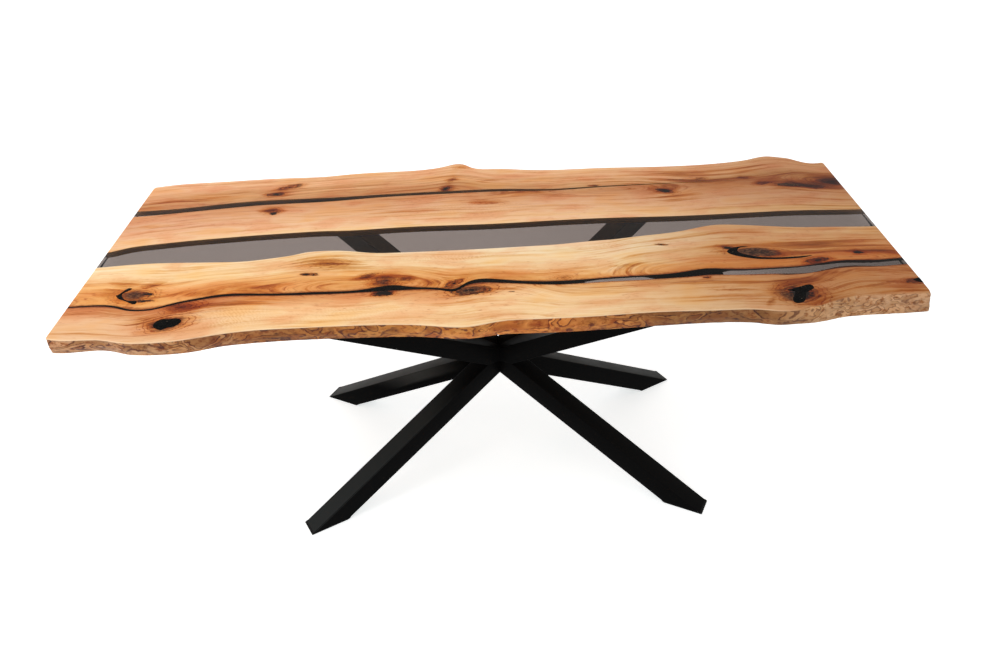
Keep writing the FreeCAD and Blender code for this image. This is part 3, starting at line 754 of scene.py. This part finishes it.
class Rim:
    """One closed outline of a piece, resampled, with what each stretch of it is.

    kinds and normals belong to its points, and stretches to the ways between two points.
    """

    def __init__(self, outline, own, others, step):
        self.points, self.kinds, self.normals, self.stretches = [], [], [], []
        self.own = own
        for i, start in enumerate(outline):
            end = outline[(i + 1) % len(outline)]
            length = (end - start).length
            if length > 1e-7:
                pieces = max(1, round(length / step))
                self.points.extend(start.lerp(end, k / pieces) for k in range(pieces))
        self.thin(step * 0.45)
        self.classify(others)
        self.round_corners()
        self.classify(others)

    def thin(self, least):
        """Drops points that lie closer than least to the last one kept, but no corner."""
        kept = []
        count = len(self.points)
        for i, point in enumerate(self.points):
            before = point - self.points[i - 1]
            after = self.points[(i + 1) % count] - point
            corner = before.angle(after, 0) > 0.6
            if corner or not kept or (point - kept[-1]).length > least:
                kept.append(point)
        self.points = kept

    def classify(self, others):
        """A bank stands against another piece of the top; an end is sawn; the rest is live."""
        count = len(self.points)
        sides = []
        for i, point in enumerate(self.points):
            along = self.points[(i + 1) % count] - point
            outward = Vector((along.y, -along.x)).normalized()
            middle = point + along * 0.5
            near = others.find_nearest(Vector((middle.x, middle.y, TOP - 0.004)), 0.002)
            if near[0] is not None and near[3] < SEAT:
                kind = "bank"
            elif abs(outward.x) > 0.96:
                kind = "end"
            else:
                kind = "live"
            sides.append((kind, outward))
        self.stretches = sides
        for i in range(count):
            one, two = sides[i - 1], sides[i]
            if one[0] == "bank" and two[0] != "bank":
                one = two
            elif two[0] == "bank" and one[0] != "bank":
                two = one
            self.kinds.append(one[0] if one[0] == two[0] else "live")
            self.normals.append((one[1] + two[1]).normalized())

    def round_corners(self):
        """Rounds the upright corners between a live edge and a sawn end."""
        count = len(self.points)
        rounded, skipped = {}, set()
        for i in range(count):
            one, two = self.stretches[i - 1], self.stretches[i]
            if {one[0], two[0]} == {"end", "live"} and one[1].angle(two[1]) > 0.8:
                before, corner, after = (self.points[(i + k) % count] for k in (-2, 0, 2))
                rounded[i] = [before.lerp(corner, t).lerp(corner.lerp(after, t), t)
                              for t in (0.2, 0.4, 0.6, 0.8)]
                skipped.update(((i - 1) % count, (i + 1) % count))
        points = []
        for i, point in enumerate(self.points):
            if i not in skipped:
                points.extend(rounded.get(i, [point]))
        self.points = points
        self.kinds, self.normals = [], []

    def set_in(self, i, distance):
        return self.points[i] - self.normals[i] * distance

    def profile(self, i, levels):
        """How far outside the upper outline the wall stands at each height."""
        if self.kinds[i] == "bank":
            return [0.0] * len(levels)
        out = self.normals[i].to_3d()
        offsets = []
        for level in levels:
            start = Vector((*self.points[i], min(level, TOP - 0.0004))) + out * LIVE_LIMIT
            hit = self.own.ray_cast(start, -out, LIVE_LIMIT * 1.6)
            offsets.append(LIVE_LIMIT - hit[3] if hit[0] is not None else 0.0)
        return offsets


def smoothed(line, window):
    """A row of values, each turned into the mean of its near ones."""
    last = len(line) - 1
    means = []
    for i in range(len(line)):
        near = [line[min(last, max(0, i + k))] for k in range(-window, window + 1)]
        means.append(sum(near) / len(near))
    return means


class Sides:
    """The two long sides of a piece as y over x, smoothed, for the run of the grain."""

    def __init__(self, outline, step=0.02, window=2):
        low, high = {}, {}
        for point in outline:
            cell = round(point.x / step)
            low[cell] = min(low.get(cell, point.y), point.y)
            high[cell] = max(high.get(cell, point.y), point.y)
        cells = [c for c in sorted(low) if high[c] - low[c] > 0.03]
        self.step, self.first = step, cells[0]
        self.low = smoothed([low[c] for c in cells], window)
        self.high = smoothed([high[c] for c in cells], window)

    def at(self, line, x):
        place = x / self.step - self.first
        i = min(len(line) - 2, max(0, int(place)))
        part = min(1.0, max(0.0, place - i))
        return line[i] * (1 - part) + line[i + 1] * part

    def front(self, x):
        return self.at(self.low, x)

    def across(self, point):
        """0 on the front side and 1 on the back side."""
        low = self.front(point.x)
        return (point.y - low) / (self.at(self.high, point.x) - low)


def smoothstep(low, high, value):
    part = min(1.0, max(0.0, (value - low) / (high - low)))
    return part * part * (3 - 2 * part)


def live_relief(point, z):
    """How far the natural edge lies in from its mean surface at this height."""
    at = Vector((point.x * 14, point.y * 14, z * 30))
    ripple = noise.noise(at) * 0.5 + noise.noise(at * 2.7) * 0.25
    at = Vector((point.x * 60, point.y * 60, z * 110))
    return max(0.0, 0.0012 + ripple * 0.0022 + noise.noise(at) * 0.0006)


def worn_rim(point, front):
    """The worn front right rim: how far it drops, and how much of its width is behind."""
    reach = WORN_REACH * smoothstep(0.70, 0.86, point.x)
    reach *= 1 - 0.5 * smoothstep(0.92, 1.05, point.x)
    inward = max(0.0, point.y - front)
    if reach < 0.004 or inward >= reach:
        return 0.0, 0.0
    part = 1 - inward / reach
    return WORN_DROP * reach / WORN_REACH * (1 - math.sqrt(1 - part * part)), part


def undercut(x):
    """How far the foot of the seam's back bank leans away: less over the bolting plate."""
    over_plate = smoothstep(0.38, 0.43, x) * (1 - smoothstep(0.57, 0.62, x))
    past_eye = smoothstep(0.80, 0.88, x)
    return SEAM_LEAN * smoothstep(0.14, 0.28, x) * (1 - 0.75 * over_plate) * (1 - 0.30 * past_eye)


def lean_share(node, rim, i, is_outer, across):
    """How much of the undercut a point of the outline takes: all on the seam's back bank."""
    if node not in ("front_inner_board", "front_seam_resin") or not is_outer:
        return 0.0
    facing = -1 if node == "front_inner_board" else 1
    for kind, outward in (rim.stretches[i - 1], rim.stretches[i]):
        if kind == "bank" and outward.y * facing > 0.3:
            return 1.0
    if rim.kinds[i] == "bank":
        return 0.0
    if node == "front_inner_board":
        return max(0.0, 1 - across / 0.3)
    return min(1.0, max(0.0, across))


def side_column(rim, i, level_count, resin):
    """Points down a piece's side under one point of its rim: (plan, height, rim value)."""
    point, kind = rim.points[i], rim.kinds[i]
    is_live = kind == "live"
    arris = {"bank": 0.0, "end": SAWN_ARRIS, "live": LIVE_ARRIS}[kind]
    depth = 1 if is_live else 0.6
    lower = 0.0 if kind == "bank" else UNDER_ARRIS
    grow = GROW if resin and kind == "bank" else 0.0
    natural = is_live and not resin
    column = []
    for turn in (0, 25, 50, 75):
        t = math.radians(turn)
        inset = arris * (1 - math.sin(t)) - grow
        z = TOP - LIVE_ARRIS * (1 - math.cos(t)) * depth
        column.append((rim.set_in(i, inset), z, turn / 90 * 0.5 if is_live else 0.0))
    high = TOP - LIVE_ARRIS * depth
    low = UNDER + UNDER_ARRIS
    levels = [high + (low - high) * k / level_count for k in range(level_count + 1)]
    offsets = rim.profile(i, levels)
    for level, offset in zip(levels, offsets):
        inset = -offset - grow
        if natural:
            inset += live_relief(point, level) * smoothstep(0, 0.006, TOP - level)
        column.append((rim.set_in(i, inset), level, 1.0))
    for turn in (35, 65, 90):
        t = math.radians(turn)
        inset = -offsets[-1] - grow + lower * (1 - math.cos(t))
        z = UNDER + UNDER_ARRIS * (1 - math.sin(t))
        if natural:
            inset += live_relief(point, low)
        column.append((rim.set_in(i, inset), z, 1.0))
    return column


def crossings(ring, x):
    """The heights y at which a closed ring crosses the line at x."""
    found = []
    before = ring[-1]
    for here in ring:
        if (here.x > x) != (before.x > x):
            t = (x - here.x) / (before.x - here.x)
            found.append(here.y + (before.y - here.y) * t)
        before = here
    return found


def within(point, ring):
    """Whether a point lies inside a closed ring."""
    return sum(y < point.y for y in crossings(ring, point.x)) % 2 == 1


def grid_points(rings, spacing, clear):
    """Points on a staggered grid inside the rings, clear of their edges."""
    border = [p for ring in rings for p in ring]
    tree = KDTree(len(border))
    for i, p in enumerate(border):
        tree.insert(p.to_3d(), i)
    tree.balance()
    left, right = min(p.x for p in rings[0]), max(p.x for p in rings[0])
    found = []
    for column in range(int((right - left) / spacing) + 1):
        x = left + column * spacing
        cuts = sorted(y for ring in rings for y in crossings(ring, x))
        for low, high in zip(cuts[::2], cuts[1::2]):
            y = math.ceil((low + clear) / spacing) * spacing + (column % 2) * spacing / 2
            while y < high - clear:
                point = Vector((x, y))
                if tree.find(point.to_3d())[2] > clear:
                    found.append(point)
                y += spacing
    return found


def cap_triangles(rings, points):
    """Triangles over the area between the rings, using the loose points inside it too."""
    flat, edges = [], []
    for ring in rings:
        first = len(flat)
        flat.extend(ring)
        count = len(ring)
        edges.extend((first + i, first + (i + 1) % count) for i in range(count))
    flat.extend(points)
    made = delaunay_2d_cdt(flat, edges, [], 5, 1e-7)
    return made[0], made[2], made[3]


class SlabMesh:
    """A new mesh for one piece of the top: rounded rims, natural edges, fine faces.

    Its vertices carry two attributes for the materials: across, the share of the way from the
    piece's front side to its back side, and rim, 0 on the flat faces and 1 on the sides.
    """

    def __init__(self, node, resin):
        self.node = node
        self.resin = resin
        source = welded(node)
        own = BVHTree.FromBMesh(source)
        outlines = face_outlines(source)
        source.free()
        others = top_neighbours(node)
        self.rims = [Rim(outline, own, others, OUTLINE_STEP) for outline in outlines]
        self.sides = Sides(self.rims[0].points)
        self.bm = bmesh.new()
        self.across_layer = self.bm.verts.layers.float.new("across")
        self.rim_layer = self.bm.verts.layers.float.new("rim")

    def add(self, point, z, rim_value):
        if self.node == "front_outer_board":
            drop, part = worn_rim(point, self.sides.front(point.x))
            z = UNDER + (z - UNDER) * (1 - drop / (TOP - UNDER))
            rim_value = max(rim_value, smoothstep(0.32, 0.95, part))
        vert = self.bm.verts.new((point.x, point.y, z))
        vert[self.across_layer] = self.sides.across(point)
        vert[self.rim_layer] = rim_value
        return vert

    def column(self, rim, i, level_count):
        """One column of the side, leant over by the undercut; a casting's face is sunk."""
        rows = side_column(rim, i, level_count, self.resin)
        point = rim.points[i]
        share = lean_share(self.node, rim, i, rim is self.rims[0], self.sides.across(point))
        foot = Vector((0.0, undercut(point.x) * share))
        rows = [(p + foot * ((TOP - z) / (TOP - UNDER)), z, r) for p, z, r in rows]
        if self.resin:
            rows = [(p, z - SINK if z > TOP - 1e-6 else z, r) for p, z, r in rows]
        return rows

    def add_side(self, rim, level_count):
        """The side under one rim; returns its upper and its lower ring of vertices."""
        columns = [self.column(rim, i, level_count) for i in range(len(rim.points))]
        verts = [[self.add(*row) for row in column] for column in columns]
        for i, here in enumerate(verts):
            after = verts[(i + 1) % len(verts)]
            kind = rim.stretches[i][0]
            for a in range(len(here) - 1):
                face = self.bm.faces.new((here[a], here[a + 1], after[a + 1], after[a]))
                face.smooth = True
                face.material_index = SIDE_MATERIAL[kind]
                if kind == "end" and a < 3:
                    face.material_index = PLANED
        return [column[0] for column in verts], [column[-1] for column in verts]

    def add_cap(self, rings, is_top, grid):
        """The flat face inside the first ring, with the other rings as holes."""
        flat = [[v.co.to_2d() for v in ring] for ring in rings]
        spacing = grid if is_top else grid * 2.2
        loose = grid_points(flat, spacing, spacing * 0.55) if grid else []
        points, faces, origins = cap_triangles(flat, loose)
        known = [v for ring in rings for v in ring]
        made = []
        for point, origin in zip(points, origins):
            if origin and origin[0] < len(known):
                made.append(known[origin[0]])
            else:
                made.append(self.add(point, TOP if is_top else UNDER, 0.0))
        for corners in faces:
            middle = sum((points[c] for c in corners), Vector((0, 0))) / len(corners)
            if any(within(middle, ring) for ring in flat[1:]):
                continue
            chosen = [made[c] for c in corners]
            if not is_top:
                chosen.reverse()
            face = self.bm.faces.new(chosen)
            face.material_index = PLANED
            if max(c[self.rim_layer] for c in chosen) > 0.3:
                face.smooth = True
                face.material_index = LIVE if is_top else PLANED

    def build(self, level_count, grid, sharp_angle):
        rings = [self.add_side(rim, level_count) for rim in self.rims]
        self.add_cap([upper for upper, lower in rings], True, grid)
        self.add_cap([lower for upper, lower in rings], False, grid)
        mesh = bpy.data.meshes.new(self.node + "_look")
        self.bm.to_mesh(mesh)
        self.bm.free()
        mesh.set_sharp_from_angle(angle=math.radians(sharp_angle))
        return mesh


def top_neighbours(node):
    """One search tree over every other piece of the top."""
    bm = bmesh.new()
    for other in NODES:
        if other != node and (other in BOARDS or other in CASTINGS
                              or other.startswith("knot_fill")):
            bm.from_mesh(NODES[other].data)
    tree = BVHTree.FromBMesh(bm)
    bm.free()
    return tree


def new_piece(name, mesh, materials, slot, *replaced):
    piece = bpy.data.objects.new(name, mesh)
    SCENE.collection.objects.link(piece)
    for material in materials:
        mesh.materials.append(material)
    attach(piece, "root")
    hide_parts(*replaced)


def build_top():
    for board in BOARDS:
        wood = WOODS[board]
        mesh = SlabMesh(board, resin=False).build(BOARD_LEVELS, wood.grid, sharp_angle=40)
        materials = [make(board) for make in (planed_face, live_edge, resin_bank_wall, sawn_end)]
        new_piece(board + "_wood", mesh, materials, wood.slot, board)
    river = resin_material("smoked_resin", RIVER_GLOSS, RIVER_SHADE_TONES)
    narrow = resin_material("smoked_resin_narrow", NARROW_GLOSS, NARROW_SHADE_TONES)
    for casting in CASTINGS:
        resin = river if casting == "river_resin" else narrow
        mesh = SlabMesh(casting, resin=True).build(RESIN_LEVELS, 0, sharp_angle=30)
        new_piece(casting + "_clear", mesh, [resin] * 4, "smoked_resin", casting)


# ------------------------------------------------------------------ the steel frame

def eased_tube(node, material):
    """Swaps one tube of the frame for a copy with its long outer edges rounded."""
    bm = welded(node)
    bmesh.ops.dissolve_limit(bm, angle_limit=0.01, verts=bm.verts, edges=bm.edges)
    longest = max(bm.edges, key=lambda e: e.calc_length())
    axis = (longest.verts[1].co - longest.verts[0].co).normalized()
    middle = sum((v.co for v in bm.verts), Vector()) / len(bm.verts)
    long_edges = []
    for edge in bm.edges:
        way = edge.verts[1].co - edge.verts[0].co
        if edge.calc_length() > 0.2 and abs(way.normalized().dot(axis)) > 0.999:
            long_edges.append(edge)
    outer = []
    for edge in long_edges:
        spot = (edge.verts[0].co + edge.verts[1].co) / 2 - middle
        spot -= axis * spot.dot(axis)
        outer.append((spot.length, edge))
    far = max(length for length, edge in outer)
    chosen = [edge for length, edge in outer if length > far * 0.93]
    bmesh.ops.bevel(bm, geom=chosen, offset=TUBE_EASE, segments=3, profile=0.5, affect="EDGES")
    bmesh.ops.triangulate(bm, faces=[f for f in bm.faces if len(f.verts) > 4])
    for face in bm.faces:
        face.smooth = True
    mesh = bpy.data.meshes.new(node + "_look")
    bm.to_mesh(mesh)
    bm.free()
    mesh.set_sharp_from_angle(angle=math.radians(32))
    new_piece(node + "_tube", mesh, [material], "black_steel", node)


def dress(node, material):
    """A carried-over CAD node gets its finish."""
    data = NODES[node].data
    data.materials.clear()
    data.materials.append(material)


def build_frame():
    # painted sheen on the legs' upward faces: lighter at the back left, darkest at the front
    # right, as the light falls
    leg_painted_sheen = [rgb(46, 48, 48), rgb(20, 20, 20), rgb(76, 77, 76), rgb(64, 65, 64)]
    steel = powder_material("black_powder_coat", 12, leg_painted_sheen)
    # painted light on the arms' upward faces, for the light falling on them through the resin
    arm_steel = powder_material("black_powder_coat_arms", 12, [rgb(132, 144, 152)] * 4)
    plate = powder_material("black_plate", 22, [rgb(36, 36, 36)] * 4, grain=1200)
    fastener = powder_material("black_oxide", 34, [rgb(40, 40, 40)] * 4, rough=0.40, grain=2600)
    zinc, rubber = zinc_material(), rubber_material()
    for corner in CORNERS:
        eased_tube("leg_" + corner, steel)
        eased_tube("arm_" + corner, arm_steel)
        dress("foot_plate_" + corner, plate)
        dress("bolting_plate_" + corner, plate)
        dress("bolts_" + corner, fastener)
        dress("washers_" + corner, fastener)
        dress("inserts_" + corner, zinc)
        dress("foot_pad_" + corner, rubber)
    fill = fill_material()
    for node in NODES:
        if node.startswith("knot_fill"):
            dress(node, fill)


# ------------------------------------------------------------------ studio

def add_camera():
    ahead = Vector((math.sin(YAW) * math.cos(PITCH), math.cos(YAW) * math.cos(PITCH),
                    -math.sin(PITCH)))
    right = Vector((math.cos(YAW), -math.sin(YAW), 0))
    up = right.cross(ahead)
    right, up = (math.cos(ROLL) * right + math.sin(ROLL) * up,
                 math.cos(ROLL) * up - math.sin(ROLL) * right)
    data = bpy.data.cameras.new("camera")
    data.sensor_width = 36.0
    data.lens = FOCAL_PX / PICTURE_WIDTH_PX * data.sensor_width
    camera = bpy.data.objects.new("camera", data)
    place = Matrix((right, up, -ahead)).transposed().to_4x4()
    place.translation = CAMERA_AT
    camera.matrix_world = place
    SCENE.collection.objects.link(camera)
    SCENE.camera = camera


def white_rays(s):
    """1 for rays straight from the camera, and 1 for those that come by gloss or resin."""
    rays = s.node("LightPath")
    mirrored = s.math("MAXIMUM", Val(s, rays.outputs["Is Glossy Ray"]),
                      Val(s, rays.outputs["Is Transmission Ray"]))
    return Val(s, rays.outputs["Is Camera Ray"]), mirrored


def add_world():
    """Even soft light, and a white backdrop for the camera, for gloss and through resin."""
    world = bpy.data.worlds.new("studio")
    SCENE.world = world
    s = Shade(world)
    seen, mirrored = white_rays(s)
    way = s.node("TexCoord")
    height = s.parts(Val(s, way.outputs["Generated"]))[2]
    soft = s.smooth(height, -0.1, 0.9, 0.45, 0.80)
    backdrop = s.smooth(height, 0.15, 0.50, 1.0, 0.20)
    strength = s.math("MULTIPLY", mirrored, backdrop) + (1.0 - mirrored) * soft
    strength = seen + (1.0 - seen) * strength
    sky = s.node("Background", {"Color": (1, 1, 1, 1), "Strength": strength})
    out = s.node("OutputWorld")
    s.tree.links.new(sky.outputs[0], out.inputs["Surface"])


def add_floor():
    """A plain white floor that keeps the table's contact shadows."""
    bm = bmesh.new()
    bmesh.ops.create_grid(bm, x_segments=8, y_segments=8, size=9.0)
    mesh = bpy.data.meshes.new("floor")
    bm.to_mesh(mesh)
    bm.free()
    floor = bpy.data.objects.new("floor", mesh)
    SCENE.collection.objects.link(floor)
    material, s = new_material("white_floor")
    shown = s.math("MAXIMUM", *white_rays(s))
    plain = s.node("BsdfDiffuse", {"Color": (0.75, 0.75, 0.75, 1)})
    white = s.node("Emission", {"Color": (0.97, 1, 1, 1), "Strength": shown * 0.67})
    both = s.node("AddShader")
    s.tree.links.new(plain.outputs[0], both.inputs[0])
    s.tree.links.new(white.outputs[0], both.inputs[1])
    s.finish(both.outputs[0])
    mesh.materials.append(material)


def add_lamp(name, at, target, size, power):
    data = bpy.data.lights.new(name, "AREA")
    data.shape = "RECTANGLE"
    data.size, data.size_y = size
    data.energy = power
    lamp = bpy.data.objects.new(name, data)
    lamp.location = at
    way = Vector(target) - Vector(at)
    lamp.rotation_euler = way.to_track_quat("-Z", "Y").to_euler()
    SCENE.collection.objects.link(lamp)


def build_studio():
    add_camera()
    add_world()
    add_floor()
    add_lamp("key", (-2.6, -1.0, 3.4), (0, 0, 0.7), (2.4, 2.0), 60)


def write_sizes():
    def plain(box):
        return [[float(value) for value in corner] for corner in box]


SCENE.view_settings.view_transform = "Standard"
build_studio()
build_top()
build_frame()
write_sizes()
